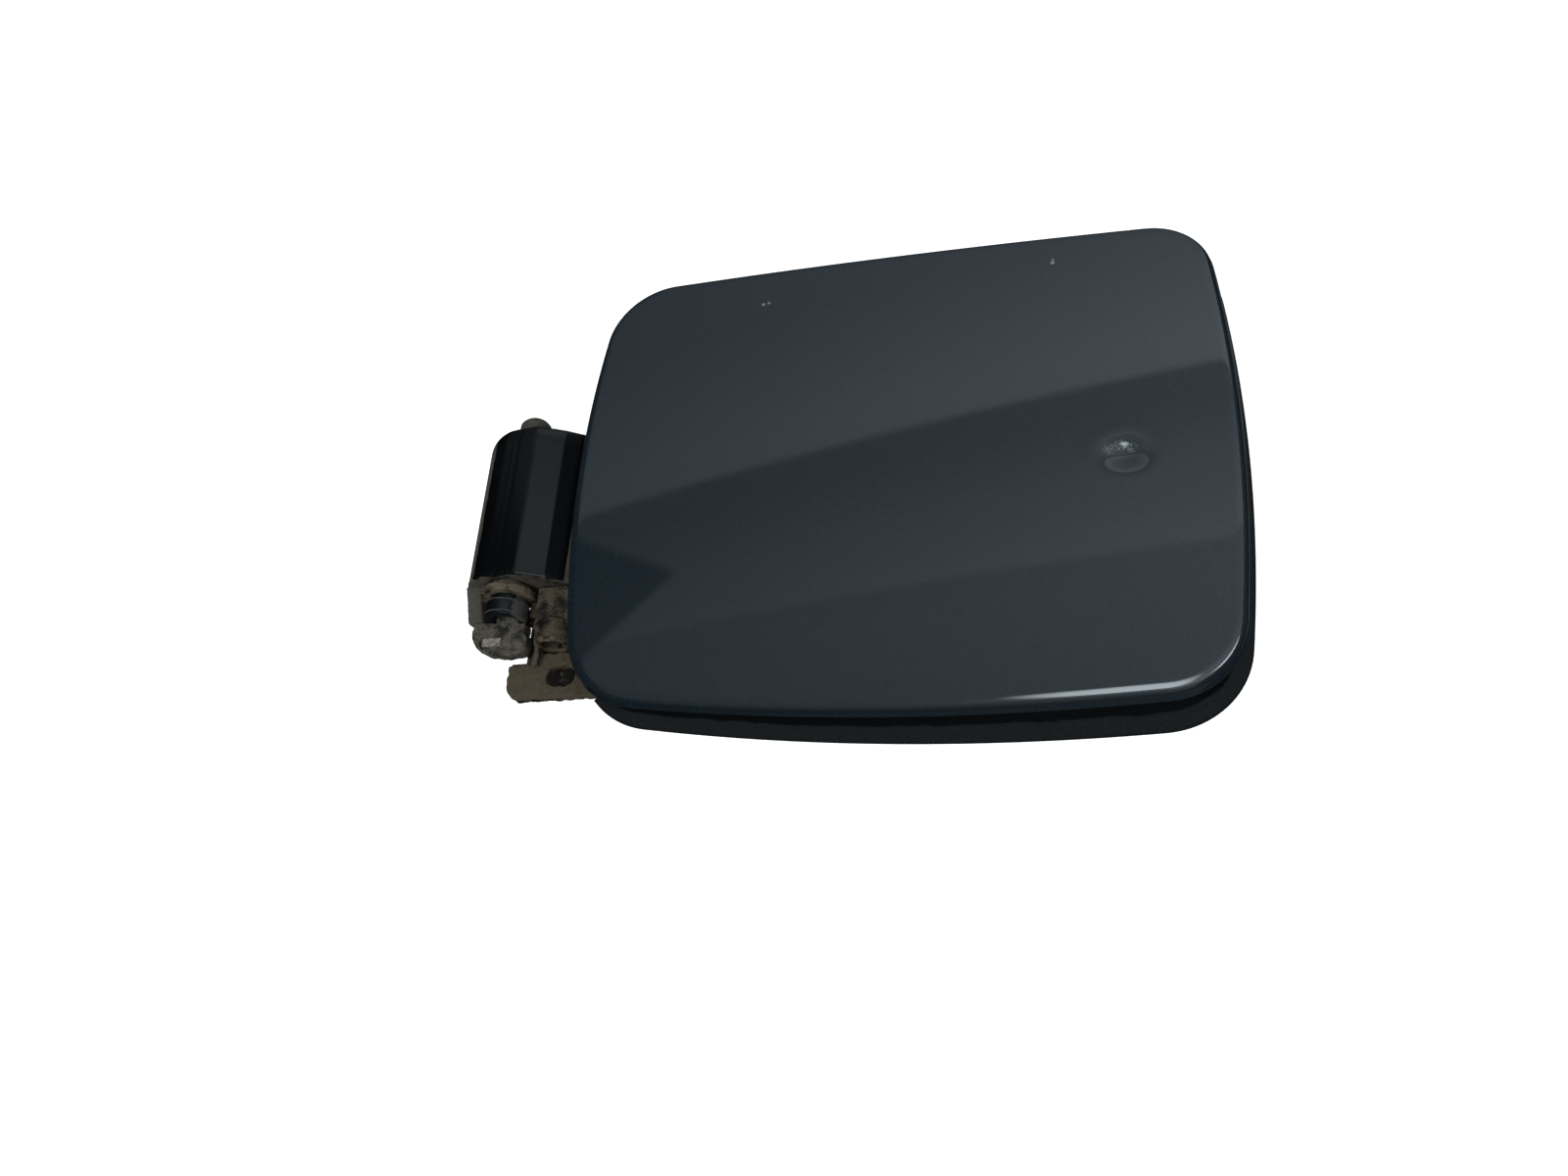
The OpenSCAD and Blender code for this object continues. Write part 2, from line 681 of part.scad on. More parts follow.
module circlips() color("#9a9da0") for (y = clip_stations) difference() {
    band(shaft_r + 1.3, journal_r - clip_groove + seat_gap, y - seat_gap, y - clip_t + seat_gap);
    translate([-1, y - clip_t - 1, 0]) cube([2, clip_t + 2, 2 * shaft_r]);
}

groove_w = 0.3;
groove_depth = 0.35;
groove_at = bush_back - 0.78 * bush_l;

module pivot_bush() color("#14171b") difference() {
    union() {
        axial(neck_r, shoulder_y, bush_back);
        axial(bush_r, bush_back, bush_face);
    }
    axial(spigot_r + seat_gap, shoulder_y + 1, spigot_end - seat_gap);
    axial(bush_bore_r, spigot_end - seat_gap, bush_face - 1);
    band(bush_r + 1, bush_r - groove_depth, groove_at, groove_at - groove_w);
}

key_top = -0.6;
key_centre = key_face + key_r;

module locking_key() color("#8b8579") {
    difference() {
        translate([0, 0, key_top - key_t]) linear_extrude(key_t) intersection() {
            translate([0, key_centre]) circle(r = key_r);
            translate([-key_r, key_face]) square([2 * key_r, key_l]);
        }
        translate([tab_x - tab_w / 2 - fit_gap, tab_y - tab_d / 2 - fit_gap, key_top - tab_depth])
            cube([tab_w + 2 * fit_gap, tab_d + 2 * fit_gap, key_t]);
    }
    intersection() {
        axial(bush_bore_r - seat_gap, bush_face + plug_l, bush_face - sink);
        translate([-key_r, bush_face - 1, key_top - key_t]) cube([2 * key_r, plug_l + 1, key_t]);
    }
}

plug_l = 4;
tab_x = -3.5;
tab_y = key_face + 5;
tab_w = 5.6;
tab_d = 2.4;
tab_depth = 1.6;
tab_proud = 0.5;

module key_tab() color("#b5aea2")
    translate([tab_x - tab_w / 2, tab_y - tab_d / 2, key_top - tab_depth])
    cube([tab_w, tab_d, tab_depth + tab_proud]);

/* Fittings on the inner side */

striker_base = [18, 26, 2.5];
hook_w = 6;
hook_line = [[-4, 0], [4, 0], [3, -4.2], [7, -4.8], [7, -5.8], [2, -6.5], [-2, -5.2]];

module latch_striker() color("#22252a") difference() {
    union() {
        translate([striker_x, striker_y, deck_under - striker_base.z / 2])
            cube(striker_base, center = true);
        translate([striker_x, striker_y + hook_w / 2, deck_under - striker_base.z + sink])
            rotate([90, 0, 0]) linear_extrude(hook_w) polygon(hook_line);
    }
    for (p = striker_screws_at) translate([p.x, p.y, deck_under - striker_base.z - 1])
        cylinder(r = striker_screw_r + fit_gap, h = striker_base.z + 2);
}

module striker_screws() color("#8f9296") for (p = striker_screws_at)
    pan_screw(p, striker_screw_r, striker_head_r, striker_head_h,
        deck_under - striker_base.z, striker_base.z + screw_reach);

holder_base = [34, 16, 2];
holder_gap = 14;
clip_w = 10;
clip_line = [[0, 0], [2.4, 0], [2.4, -6.2], [-1.8, -6.2], [-1.8, -4.6], [0, -3.6]];

module cap_holder() color("#1b1d20") translate([holder_x, holder_y, deck_under]) {
    translate([-holder_base.x / 2, -holder_base.y / 2, -holder_base.z]) cube(holder_base);
    for (s = [-1, 1]) rotate([0, 0, s > 0 ? 0 : 180])
        translate([holder_gap / 2, clip_w / 2, -holder_base.z + sink]) rotate([90, 0, 0])
            linear_extrude(clip_w) polygon(clip_line);
}

buffer_in = 28;
buffer_at = [[striker_x, far_side - buffer_in], [striker_x, near_side + buffer_in]];
buffer_r = 5;
buffer_h = 6.5;
buffer_stem_r = 2;

module buffer(at) color("#101113") translate([at.x, at.y, deck_under]) {
    translate([0, 0, -buffer_h + buffer_r / 2]) cylinder(r = buffer_r, h = buffer_h - buffer_r / 2);
    translate([0, 0, -buffer_h + buffer_r / 2]) scale([1, 1, 0.5]) sphere(r = buffer_r);
    cylinder(r = buffer_stem_r, h = wall + 1);
}

module buffer_upper() buffer(buffer_at[0]);
module buffer_lower() buffer(buffer_at[1]);

outer_skin();
adhesive_bead();
inner_carrier();
hinge_arm();
arm_screws();
arm_washers();
arm_bracket();
bracket_screws();
far_bearing();
near_bearing();
thrust_washer();
return_spring();
latch_striker();
striker_screws();
cap_holder();
buffer_upper();
buffer_lower();
pivot_shaft();
circlips();
pivot_bush();
locking_key();
key_tab();
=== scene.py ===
"""Car fuel door: finer painted panel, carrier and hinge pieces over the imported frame."""
import math

import bpy
from mathutils import Matrix, Vector, noise


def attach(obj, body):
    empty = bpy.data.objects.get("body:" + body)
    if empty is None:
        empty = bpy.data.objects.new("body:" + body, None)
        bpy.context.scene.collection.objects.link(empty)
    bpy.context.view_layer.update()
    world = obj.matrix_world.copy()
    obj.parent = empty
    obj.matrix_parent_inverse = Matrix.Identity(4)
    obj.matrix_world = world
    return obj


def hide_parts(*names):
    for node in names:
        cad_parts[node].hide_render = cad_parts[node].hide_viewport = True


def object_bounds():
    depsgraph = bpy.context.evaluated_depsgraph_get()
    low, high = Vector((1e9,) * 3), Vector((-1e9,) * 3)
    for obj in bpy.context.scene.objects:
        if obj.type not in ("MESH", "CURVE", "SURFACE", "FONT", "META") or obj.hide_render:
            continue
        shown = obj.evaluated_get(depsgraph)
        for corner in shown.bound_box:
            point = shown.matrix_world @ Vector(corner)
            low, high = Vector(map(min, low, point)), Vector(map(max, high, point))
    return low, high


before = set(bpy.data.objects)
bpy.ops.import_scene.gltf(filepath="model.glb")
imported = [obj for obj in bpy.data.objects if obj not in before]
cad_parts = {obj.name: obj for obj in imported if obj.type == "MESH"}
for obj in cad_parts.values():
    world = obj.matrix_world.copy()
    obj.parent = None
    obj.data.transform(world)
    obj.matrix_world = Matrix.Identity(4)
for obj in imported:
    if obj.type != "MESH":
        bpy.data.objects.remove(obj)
cad_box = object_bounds()

MM = 0.001
PIVOT = {"pivot_shaft", "circlips", "pivot_bush", "locking_key", "key_tab"}

# place of the panel in the row frame, and the outline it shares with the part's source (millimetres)
CANT = math.radians(-2.25)
PANEL_AT = Vector((106.7, -25.2, 12.0))
HALF = (80.0, 63.0)
CORNERS = [(-77, -63.6), (81.5, -62.4), (79.5, 62.6), (-81.3, 62.2)]
BULGES = [4.9, 4.8, 0.6, 5.9]
CUTS = [15.8, 15.2, 13.3, 17.1]
CROWN = 1.1
SHOULDER = 1.6
SHEET = 0.9
HEM = 3.5
HEM_RETURN = 8
SKIRT_TURN = math.radians(-0.75)
SKIRT_STEPS = 14
RIM, DECK, SKIRT_FOOT = 4.7, 6.7, 18.5
RIM_INSET, SKIRT_FLARE, SKIRT_CURVE, SKIRT_WALL = -2.5, 5.4, 2.2, 2
DENT = (59.2, -5.0)
DENT_DEPTH, DENT_REACH, DENT_STRETCH = 0.8, 2.9, 1.35
SWELL_HEIGHT, SWELL_AT, SWELL_REACH = 0.03, 6.0, 1.6
FACE_RINGS = 84
FACE_INSET = -2.8


def to_frame(p):
    """Panel millimetres to row metres."""
    c, s = math.cos(CANT), math.sin(CANT)
    return Vector((c * p[0] - s * p[1], s * p[0] + c * p[1], p[2])) * MM + PANEL_AT * MM


def corner(i):
    return Vector(CORNERS[i % 4])


def side(i, t):
    """Point and direction on one bulged side."""
    a = corner(i)
    run = corner(i + 1) - a
    out = Vector((run.y, -run.x)).normalized()
    point = a + run * t + out * 4 * BULGES[i % 4] * t * (1 - t)
    way = (run + out * 4 * BULGES[i % 4] * (1 - 2 * t)).normalized()
    return point, way


def outline(n_side, n_corner):
    """Points of the closed outline with their outward directions, anticlockwise."""
    found = []
    for i in range(4):
        length = (corner(i + 1) - corner(i)).length
        next_length = (corner(i + 2) - corner(i + 1)).length
        next_cut = CUTS[(i + 1) % 4]
        t0, t1 = CUTS[i] / length, 1 - next_cut / length
        for k in range(n_side + 1):
            p, w = side(i, t0 + (t1 - t0) * k / n_side)
            found.append((p, Vector((w.y, -w.x))))
        a, ta = side(i, t1)
        b, tb = side(i + 1, next_cut / next_length)
        turn = math.acos(ta.dot(tb))
        reach = 2 / 3 * math.tan(turn / 4) * (b - a).length / math.sin(turn / 2)
        p1, p2 = a + ta * reach, b - tb * reach
        for k in range(1, n_corner):
            u = k / n_corner
            v = 1 - u
            p = a * v**3 + p1 * 3 * v * v * u + p2 * 3 * v * u * u + b * u**3
            way = ((p1 - a) * v * v + (p2 - p1) * 2 * v * u + (b - p2) * u * u).normalized()
            found.append((p, Vector((way.y, -way.x))))
    return found


EDGE = outline(44, 22)


def fall(x, y):
    return CROWN * ((x / HALF[0]) ** 2 + (y / HALF[1]) ** 2)


def ring(offset, depth, follow=1.0, scale=1.0):
    """The outline moved out by the offset and down by the depth, following a share of the crown."""
    points = []
    for p, n in EDGE:
        q = (p + n * offset) * scale
        points.append(Vector((q.x, q.y, -depth - follow * fall(q.x, q.y))))
    return points


def mesh_object(name, verts, faces, material, smooth=True):
    mesh = bpy.data.meshes.new(name)
    mesh.from_pydata(verts, [], faces)
    mesh.update()
    if smooth:
        mesh.shade_smooth()
    obj = bpy.data.objects.new(name, mesh)
    bpy.context.scene.collection.objects.link(obj)
    mesh.materials.append(material)
    return obj


def loft(name, rings, top, bottom, material):
    """Closed solid through rings of equal length; top and bottom are its middle points."""
    n = len(rings[0])
    verts = [top] + [p for r in rings for p in r] + [bottom]
    faces = []
    for i in range(n):
        k = (i + 1) % n
        faces.append((0, 1 + i, 1 + k))
        for j in range(len(rings) - 1):
            a, b = 1 + j * n, 1 + (j + 1) * n
            faces.append((a + i, b + i, b + k, a + k))
        last = 1 + (len(rings) - 1) * n
        faces.append((len(verts) - 1, last + k, last + i))
    return mesh_object(name, [to_frame(v) for v in verts], faces, material)


# materials

def new_material(name):
    m = bpy.data.materials.new(name)
    m.use_nodes = True
    return m, m.node_tree.nodes, m.node_tree.links, m.node_tree.nodes["Principled BSDF"]


def noise_node(nodes, links, scale, detail, rough, coords):
    n = nodes.new("ShaderNodeTexNoise")
    n.inputs["Scale"].default_value = scale
    n.inputs["Detail"].default_value = detail
    n.inputs["Roughness"].default_value = rough
    links.new(coords, n.inputs["Vector"])
    return n.outputs["Fac"]


def ramp(nodes, links, fac, low, high, a=0.0, b=1.0, smooth=False):
    n = nodes.new("ShaderNodeMapRange")
    n.interpolation_type = "SMOOTHSTEP" if smooth else "LINEAR"
    for key, value in zip(("From Min", "From Max", "To Min", "To Max"), (low, high, a, b)):
        n.inputs[key].default_value = value
    links.new(fac, n.inputs["Value"])
    return n.outputs["Result"]


def mix(nodes, links, fac, a, b):
    n = nodes.new("ShaderNodeMix")
    n.data_type = "RGBA"
    links.new(fac, n.inputs[0])
    for value, slot in ((a, n.inputs[6]), (b, n.inputs[7])):
        if isinstance(value, tuple):
            slot.default_value = (*value, 1.0)
        else:
            links.new(value, slot)
    return n.outputs[2]


def calc(nodes, links, op, a, b):
    n = nodes.new("ShaderNodeMath")
    n.operation = op
    for value, slot in ((a, n.inputs[0]), (b, n.inputs[1])):
        if isinstance(value, (int, float)):
            slot.default_value = value
        else:
            links.new(value, slot)
    return n.outputs[0]


def bump(nodes, links, bsdf, height, distance, strength=1.0):
    n = nodes.new("ShaderNodeBump")
    n.inputs["Distance"].default_value = distance
    n.inputs["Strength"].default_value = strength
    links.new(height, n.inputs["Height"])
    links.new(n.outputs[0], bsdf.inputs["Normal"])


def near(nodes, links, coords, point, radius):
    """1 at a point given in row millimetres, falling to 0 at the radius."""
    n = nodes.new("ShaderNodeVectorMath")
    n.operation = "DISTANCE"
    links.new(coords, n.inputs[0])
    n.inputs[1].default_value = Vector(point) * MM
    return ramp(nodes, links, n.outputs["Value"], 0.6 * radius * MM, radius * MM, 1, 0)


# stone chips in the paint: place and radius in row millimetres
CHIPS = [((72.7, 26.9, 11.1), 0.6), ((74.3, 27.1, 11.1), 0.5),
         ((151.6, 26.8, 10.9), 0.6), ((151.7, 27.8, 10.9), 0.4)]
# painted highlight: pale speckles on the dent's far wall that stand in for its bright reflection
DENT_WALL_HIGHLIGHT_SPOTS = [((162.0, -31.0, 11.2), 1.7), ((164.6, -30.3, 11.2), 1.8), ((167.2, -31.0, 11.2), 1.6)]


def paint():
    m, nodes, links, bsdf = new_material("blue_grey_metallic_paint")
    co = nodes.new("ShaderNodeTexCoord").outputs["Object"]
    flake = ramp(nodes, links, noise_node(nodes, links, 3400, 2, 0.7, co), 0.3, 0.75)
    cloud = ramp(nodes, links, noise_node(nodes, links, 22, 3, 0.5, co), 0.3, 0.7)
    body = mix(nodes, links, flake, (0.0045, 0.0095, 0.0142), (0.0195, 0.0285, 0.0355))
    body = mix(nodes, links, calc(nodes, links, "MULTIPLY", cloud, 0.3), body, (0.0078, 0.0158, 0.0222))
    for point, radius in CHIPS:
        body = mix(nodes, links, near(nodes, links, co, point, radius), body, (0.21, 0.22, 0.22))
    speckle = ramp(nodes, links, noise_node(nodes, links, 1900, 3, 0.8, co), 0.48, 0.6)
    # pale speckles painted on the dent's far wall as its highlight
    for point, radius in DENT_WALL_HIGHLIGHT_SPOTS:
        share = calc(nodes, links, "MULTIPLY", near(nodes, links, co, point, radius), speckle)
        body = mix(nodes, links, share, body, (0.11, 0.128, 0.132))
    links.new(body, bsdf.inputs["Base Color"])
    film = noise_node(nodes, links, 60, 5, 0.6, co)
    links.new(ramp(nodes, links, film, 0.35, 0.75, 0.02, 0.05), bsdf.inputs["Coat Roughness"])
    bsdf.inputs["Metallic"].default_value = 0.25
    bsdf.inputs["Roughness"].default_value = 0.5
    bsdf.inputs["Specular IOR Level"].default_value = 0.0
    bsdf.inputs["Coat Weight"].default_value = 1.0
    return m


def plastic(name, color, roughness, dust_and_sheen=0.0, dust_and_sheen_color=(0.14, 0.12, 0.09), scale=140.0, grain=0.00002,
            spec=0.4, strips=(), stretch=(1, 1, 1)):
    """Moulded plastic with a film in patches: dust on most pieces, and a painted sheen on the carrier.

    dust_and_sheen is the share of the film, and each strip (axis, start, end, amount) adds to it between
    two places in row millimetres; a negative amount takes the film away, as in the bracket's painted shadow.
    """
    m, nodes, links, bsdf = new_material(name)
    raw = nodes.new("ShaderNodeTexCoord").outputs["Object"]
    mapping = nodes.new("ShaderNodeMapping")
    mapping.inputs["Scale"].default_value = stretch
    links.new(raw, mapping.inputs["Vector"])
    co = mapping.outputs[0]
    coarse = noise_node(nodes, links, scale, 6, 0.65, co)
    fine = noise_node(nodes, links, scale * 9, 4, 0.7, co)
    both = calc(nodes, links, "ADD", calc(nodes, links, "MULTIPLY", coarse, 0.7),
                calc(nodes, links, "MULTIPLY", fine, 0.3))
    level = both
    if strips:
        split = nodes.new("ShaderNodeSeparateXYZ")
        links.new(raw, split.inputs[0])
        for axis, start, end, amount in strips:
            rise = ramp(nodes, links, split.outputs["XYZ".index(axis)], start * MM, end * MM, 0, amount, True)
            level = calc(nodes, links, "ADD", level, rise)
    edge = 0.72 - 0.42 * dust_and_sheen
    cover = ramp(nodes, links, level, edge - 0.06, edge + 0.06)
    thin = tuple(c * 0.55 for c in dust_and_sheen_color)
    film = mix(nodes, links, ramp(nodes, links, fine, 0.3, 0.7), thin, dust_and_sheen_color)
    links.new(mix(nodes, links, cover, color, film), bsdf.inputs["Base Color"])
    links.new(ramp(nodes, links, cover, 0, 1, roughness, 0.9), bsdf.inputs["Roughness"])
    bsdf.inputs["Specular IOR Level"].default_value = spec
    bump(nodes, links, bsdf, both, grain, 0.8)
    return m


def steel(name, color, roughness):
    m, nodes, links, bsdf = new_material(name)
    co = nodes.new("ShaderNodeTexCoord").outputs["Object"]
    streak = noise_node(nodes, links, 900, 5, 0.6, co)
    dull = tuple(c * 0.55 for c in color)
    streaks = mix(nodes, links, ramp(nodes, links, streak, 0.35, 0.7), color, dull)
    links.new(streaks, bsdf.inputs["Base Color"])
    links.new(ramp(nodes, links, streak, 0.3, 0.7, roughness, roughness + 0.2), bsdf.inputs["Roughness"])
    bsdf.inputs["Metallic"].default_value = 1.0
    bump(nodes, links, bsdf, streak, 0.00001, 0.5)
    return m


PAINT = paint()
# the lighter film on the lower skirt is a painted sheen, and the skirt is left darker above it as painted
# shade under the hem
CARRIER = plastic("carrier_black", (0.0022, 0.003, 0.0034), 0.35, 0.02, (0.0125, 0.0155, 0.0165), spec=0.15,
                  strips=[("Z", -1.2, -4.0, 0.6)])
ARM = plastic("arm_gloss_black", (0.0018, 0.0024, 0.003), 0.12, 0.02,
              (0.085, 0.077, 0.062), 300, 0.000006, 0.2,
              [("X", -6.2, -9.0, 0.42), ("Y", -49.4, -50.2, 0.5), ("X", 17.0, 17.8, 0.34)], (1, 0.12, 1))
# painted shadow: the first strip takes the film away below about z -5, leaving the bracket's floor black
# where the key shades it; the other strips add dust
BRACKET = plastic("bracket_dusty", (0.005, 0.004, 0.003), 0.7, 0.55,
                  (0.085, 0.07, 0.048), 200, 0.00008, 0.2,
                  [("Z", -4.6, -5.2, -0.6), ("Y", -70.0, -76.0, 0.1), ("Y", -66.4, -67.0, 0.12)])
BEARING = plastic("bearing_dusty", (0.006, 0.005, 0.004), 0.7, 0.62, (0.14, 0.115, 0.08), 260, 0.00006, 0.2)
BUSH = plastic("bush_black", (0.003, 0.0045, 0.006), 0.35, 0.1, (0.075, 0.075, 0.07), 420, 0.00003, 0.15,
               [("X", 3.0, 5.4, 0.36), ("Y", -54.6, -54.8, 0.3), ("Y", -55.0, -55.2, -0.3),
                ("Y", -58.2, -58.35, 0.3), ("Y", -58.5, -58.65, -0.3)])
KEY = plastic("key_dusty", (0.02, 0.019, 0.017), 0.8, 0.55, (0.115, 0.105, 0.085), 330, 0.00008, 0.15)
TAB = plastic("tab_pale", (0.24, 0.22, 0.185), 0.8, 0.5, (0.12, 0.105, 0.08), 700, 0.00003, 0.2)
FITTING = plastic("fitting_black", (0.02, 0.02, 0.022), 0.5, 0.15)
RUBBER = plastic("buffer_rubber", (0.012, 0.012, 0.012), 0.8, 0.2)
SHAFT = plastic("shaft_dirty", (0.05, 0.047, 0.04), 0.5, 0.7, (0.06, 0.055, 0.044), 300, 0.00004)
STEEL = steel("bright_steel", (0.55, 0.56, 0.58), 0.3)
SPRING = steel("spring_steel", (0.42, 0.43, 0.44), 0.35)
BEAD = plastic("bead_black", (0.01, 0.01, 0.01), 0.7, 0.2)

node_materials = {
    "adhesive_bead": BEAD, "arm_screws": STEEL, "arm_washers": STEEL, "bracket_screws": STEEL,
    "far_bearing": BEARING, "thrust_washer": STEEL, "return_spring": SPRING, "striker_screws": STEEL,
    "circlips": STEEL,
}
for name, material in node_materials.items():
    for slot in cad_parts[name].material_slots:
        slot.material = material


# painted skin

def dent_depth(x, y):
    """A bowl longer along x, with a faint swell around it."""
    r = math.hypot((x - DENT[0]) / DENT_STRETCH, y - DENT[1])
    swell = SWELL_HEIGHT * math.exp(-(((r - SWELL_AT) / SWELL_REACH) ** 2))
    return DENT_DEPTH * math.exp(-((r / DENT_REACH) ** 2)) - swell


def face_ring(scale, offset):
    points = ring(offset, 0, 1, scale)
    return [Vector((p.x, p.y, p.z - dent_depth(p.x, p.y))) for p in points]


def skin():
    """The crowned face, its rolled shoulder, the hem under the edge and the sheet's back."""
    rings = [face_ring(s / FACE_RINGS, FACE_INSET) for s in range(1, FACE_RINGS + 1)]
    for k in range(1, 11):
        a = math.radians(9 * k)
        rings.append(ring(SHOULDER * (math.sin(a) - 1), SHOULDER * (1 - math.cos(a))))
    folds = [(0.25, 2.2), (0.5, 2.9), (0.6, 3.1), (0.55, 3.35), (0.3, 3.48), (0.1, HEM), (-4, HEM)]
    folds += [(0.1 - HEM_RETURN, HEM), (-HEM_RETURN, 3.45), (-HEM_RETURN, 2.65), (0.1 - HEM_RETURN, 2.6)]
    folds += [(-SHEET, 2.6), (-SHEET, 1.6), (-2, 1.0), (-3.6, SHEET)]
    rings += [ring(offset, depth) for offset, depth in folds]
    rings += [ring(-3.6, 1.7, 1, s) for s in (0.7, 0.4)]
    obj = loft("painted_skin", rings, Vector((0, 0, 0)), Vector((0, 0, -1.7)), PAINT)
    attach(obj, "door")
    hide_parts("outer_skin")


# inner carrier

def skirt_rings(shift, steps):
    """Rings down the flared skirt, each turned by its share of the lower edge's turn."""
    points = []
    for k in steps:
        t = k / SKIRT_STEPS
        turn = Matrix.Rotation(SKIRT_TURN * t, 3, "Z")
        offset = RIM_INSET + SKIRT_FLARE * t**SKIRT_CURVE - shift
        points.append([turn @ p for p in ring(offset, RIM + (SKIRT_FOOT - RIM) * t, 1 - t)])
    return points


def box_mesh(low, high):
    xs, ys, zs = zip(low, high)
    corners = [Vector((x, y, z)) * MM for x in xs for y in ys for z in zs]
    return corners, [(0, 1, 3, 2), (4, 6, 7, 5), (0, 4, 5, 1), (2, 3, 7, 6), (0, 2, 6, 4), (1, 5, 7, 3)]


def apply_modifiers(obj):
    done = bpy.data.meshes.new_from_object(obj.evaluated_get(bpy.context.evaluated_depsgraph_get()))
    obj.modifiers.clear()
    obj.data = done


def cut(obj, low, high):
    """Takes the box between two corners, in row millimetres, out of a closed piece."""
    tool = mesh_object("cutter", *box_mesh(low, high), obj.data.materials[0], False)
    mod = obj.modifiers.new("cut", "BOOLEAN")
    mod.operation, mod.object, mod.solver = "DIFFERENCE", tool, "EXACT"
    apply_modifiers(obj)
    bpy.data.objects.remove(tool)


def rounded_box(name, low, high, radius, material):
    obj = mesh_object(name, *box_mesh(low, high), material, False)
    mod = obj.modifiers.new("bevel", "BEVEL")
    mod.width, mod.segments = radius * MM, 2
    apply_modifiers(obj)
    obj.data.shade_smooth()
    return obj


RIB_XS, RIB_YS = (74, 90, 130, 146), (-63.2, -38, -12, 12.8)
RIB_END, RIB_HALF, RIB_BOTTOM, RIB_TOP = 152, 0.8, -1.5, 3
BOSSES = [(42, -14.3, 1.9), (42, -38.3, 1.9), (56, -14.3, 1.9), (56, -38.3, 1.9),
          (34.7, -56, 1.9), (43.7, -56, 1.9), (166.7, -36.2, 1.5), (166.7, -20.2, 1.5)]
# opening for the arm and the bracket, and its lower part at the bracket's block
OPENINGS = [((13.7, -76.5, -8), (33, 0.2, 2.5)), ((13.7, -81.3, -8), (33, -76.4, -2.6))]


def carrier():
    rings = [ring(-10.5, 7.5, 0), ring(-10.3, 7.3, 0), ring(-9.1, 4.9), ring(-8.9, 4.72), ring(-8.6, RIM)]
    rings += skirt_rings(0, range(0, SKIRT_STEPS + 1))
    rings += skirt_rings(SKIRT_WALL, range(SKIRT_STEPS, 0, -1))
    rings += [ring(-4.5, DECK), ring(-11, DECK), ring(-12.5, 9.5, 0)]
    obj = loft("carrier_shell", rings, Vector((0, 0, -7.5)), Vector((0, 0, -9.5)), CARRIER)
    for low, high in OPENINGS:
        cut(obj, low, high)
    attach(obj, "door")
    pieces = []
    lines = [((x - RIB_HALF, RIB_YS[0]), (x + RIB_HALF, RIB_YS[3])) for x in RIB_XS]
    lines += [((RIB_XS[0], y - RIB_HALF), (RIB_END, y + RIB_HALF)) for y in RIB_YS]
    for low, high in lines:
        pieces.append(rounded_box("carrier_rib", (*low, RIB_BOTTOM), (*high, RIB_TOP), 0.4, CARRIER))
    for x, y, r in BOSSES:
        pieces.append(boss(x, y, r))
    for piece in pieces:
        piece.parent = obj
    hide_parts("inner_carrier")


def boss(x, y, r):
    """Screw boss on the deck, turned from its half section."""
    section = [(r + 0.1, 4.3), (r + 2, 4.3), (r + 2, 7.2), (r + 1.7, 7.5), (r + 0.1, 7.5)]
    verts, faces, n = [], [], 32
    for i in range(n):
        a = 2 * math.pi * i / n
        verts += [Vector((x + q * math.cos(a), y + q * math.sin(a), z)) * MM for q, z in section]
    m = len(section)
    for i in range(n):
        for k in range(m):
            here, there, up = i * m, (i + 1) % n * m, (k + 1) % m
            faces.append((here + k, there + k, there + up, here + up))
    return mesh_object("carrier_boss", verts, faces, CARRIER, False)


# worn hinge pieces, remade from the frame's own shapes

def lump(p, scale, height):
    return height * noise.fractal(p * scale, 0.8, 2.0, 4)


def worn(name, voxel, material, smooth=2, shape=None, lumps=0.0, scale=900.0):
    """Copy of a node with softened edges, a moved shape and an uneven, dirty surface."""
    obj = bpy.data.objects.new(name + "_worn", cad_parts[name].data.copy())
    bpy.context.scene.collection.objects.link(obj)
    remesh = obj.modifiers.new("remesh", "REMESH")
    remesh.mode, remesh.voxel_size = "VOXEL", voxel * MM
    soft = obj.modifiers.new("soft", "SMOOTH")
    soft.factor, soft.iterations = 0.5, smooth
    apply_modifiers(obj)
    mesh = obj.data
    normals = [v.normal.copy() for v in mesh.vertices]
    for v, n in zip(mesh.vertices, normals):
        p = v.co / MM
        if shape:
            p = shape(p)
        q = p * MM + n * lump(v.co, scale, lumps * MM)
        v.co = [min(max(a, low), high) for a, low, high in zip(q, *cad_box)]
    mesh.materials.clear()
    mesh.materials.append(material)
    mesh.shade_smooth()
    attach(obj, "pivot" if name in PIVOT else "door")
    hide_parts(name)
    return obj


def blend(a, b, x):
    t = min(1.0, max(0.0, (x - a) / (b - a)))
    return t * t * (3 - 2 * t)


def along_line(line, x):
    """Height of a polyline of (place, height) points at x."""
    for (a, ha), (b, hb) in zip(line, line[1:]):
        if x <= b:
            break
    return ha + (hb - ha) * (x - a) / (b - a)


BARREL_X, BARREL_Z, BARREL_R = -2.1, -1.6, 10.5
# the solid's slope towards the panel: where it leaves the barrel, its height there and its fall
SLOPE_X, SLOPE_Z, SLOPE = 0.97, 8.44, 0.3057
# height of the worn cover by its distance from the axis
COVER = [(-4.0, 8.73), (5.9, 9.2), (6.5, 9.0), (13.0, 5.3), (13.8, 4.7), (18.8, 0.9), (19.6, 0.4)]


